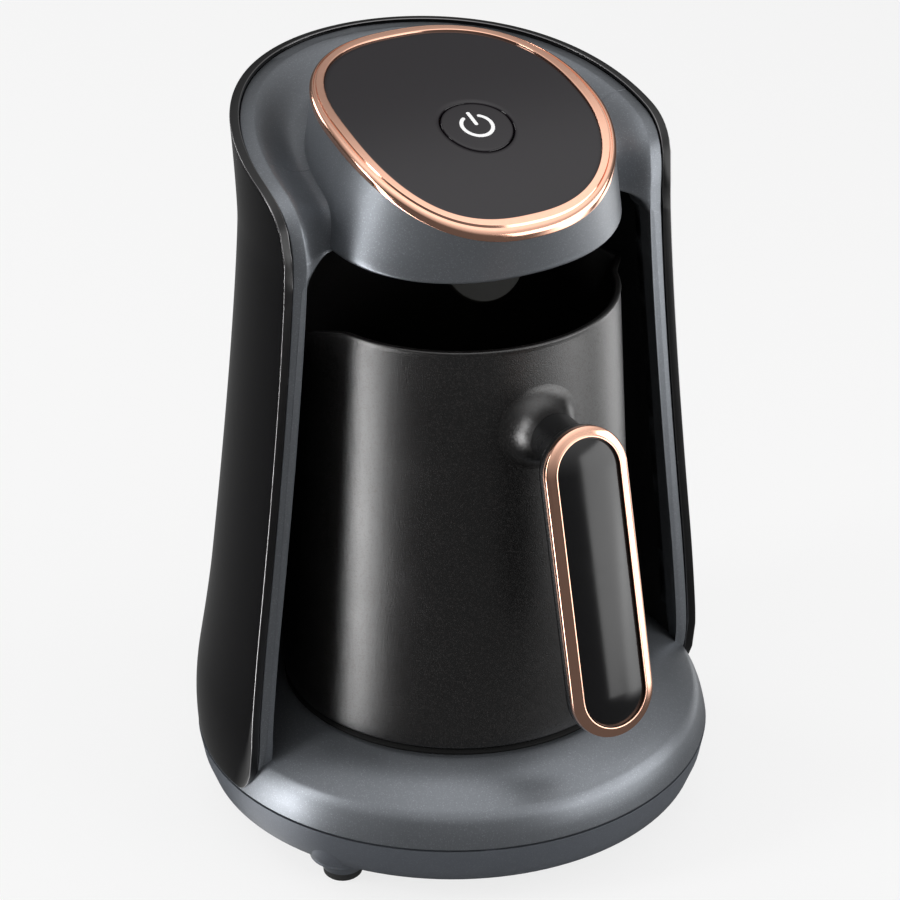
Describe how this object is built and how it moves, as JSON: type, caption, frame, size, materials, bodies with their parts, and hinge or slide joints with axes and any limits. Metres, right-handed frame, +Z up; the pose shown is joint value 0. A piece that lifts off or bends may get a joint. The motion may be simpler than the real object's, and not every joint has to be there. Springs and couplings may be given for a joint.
{
  "type": "electric turkish coffee maker",
  "caption": "Countertop coffee maker: domed round base with heating plate, wrap-round rear shell, tilted oval head with push button, and a lift-out conical pot with ring handle.",
  "frame": {"origin": "on the table plane under the feet, at the centre of the overall width and depth", "axes": "+X to the machine's right, +Y to its back, +Z up"},
  "size_m": [0.1676, 0.1877, 0.246],
  "materials": {
    "graphite_paint": "satin metallic",
    "foot_rubber": "matt",
    "black_plastic": "fine texture",
    "screw_steel": "zinc plated",
    "plate_metal": "turned",
    "element_steel": "heat tinted",
    "gloss_black": "high gloss",
    "smoked_window": "smoked",
    "circuit_board": "solder mask",
    "rose_gold": "polished rose gold",
    "panel_black": "gloss",
    "icon_white": "translucent",
    "relay_blue": "moulded",
    "winding_tape": "tape",
    "lead_sleeve": "silicone sleeve",
    "pot_coating": "sparkle non-stick",
    "handle_black": "satin"
  },
  "bodies": {
    "machine": {"base_pan": "graphite_paint", "rubber_feet": "foot_rubber", "base_screws": "screw_steel", "cord_gland": "black_plastic", "base_cover": "graphite_paint", "plate_seal": "foot_rubber", "heating_plate": "plate_metal", "heating_element": "element_steel", "element_clamp": "screw_steel", "thermostat": "black_plastic", "thermal_fuse": "screw_steel", "rear_cover": "gloss_black", "head_frame": "graphite_paint", "bay_liner": "black_plastic", "head_floor": "black_plastic", "sensor_window": "smoked_window", "sensor_board": "circuit_board", "infrared_eyes": "gloss_black", "trim_ring": "rose_gold", "top_panel": "panel_black", "control_board": "circuit_board", "button_switch": "black_plastic", "icon_led": "icon_white", "buzzer": "black_plastic", "power_board": "circuit_board", "power_relay": "relay_blue", "power_transformer": "winding_tape", "power_capacitor": "black_plastic", "heater_leads": "lead_sleeve"},
    "button": {"start_button": "panel_black", "button_icon": "icon_white", "switch_plunger": "black_plastic"},
    "pot": {"pot_body": "pot_coating", "handle_grip": "handle_black", "handle_trim": "rose_gold", "handle_insert": "gloss_black", "handle_screw": "screw_steel"}
  },
  "joints": [
    {"name": "button_press", "type": "slide", "parent": "machine", "child": "button", "axis": [0, 0.3172, -0.9484], "range_m": [0, 0.0012], "stiffness_N_per_m": 1500},
    {"name": "pot_removal", "type": "slide", "parent": "machine", "child": "pot", "axis": [0, -1, 0], "range_m": [0, 0.17]}
  ]
}
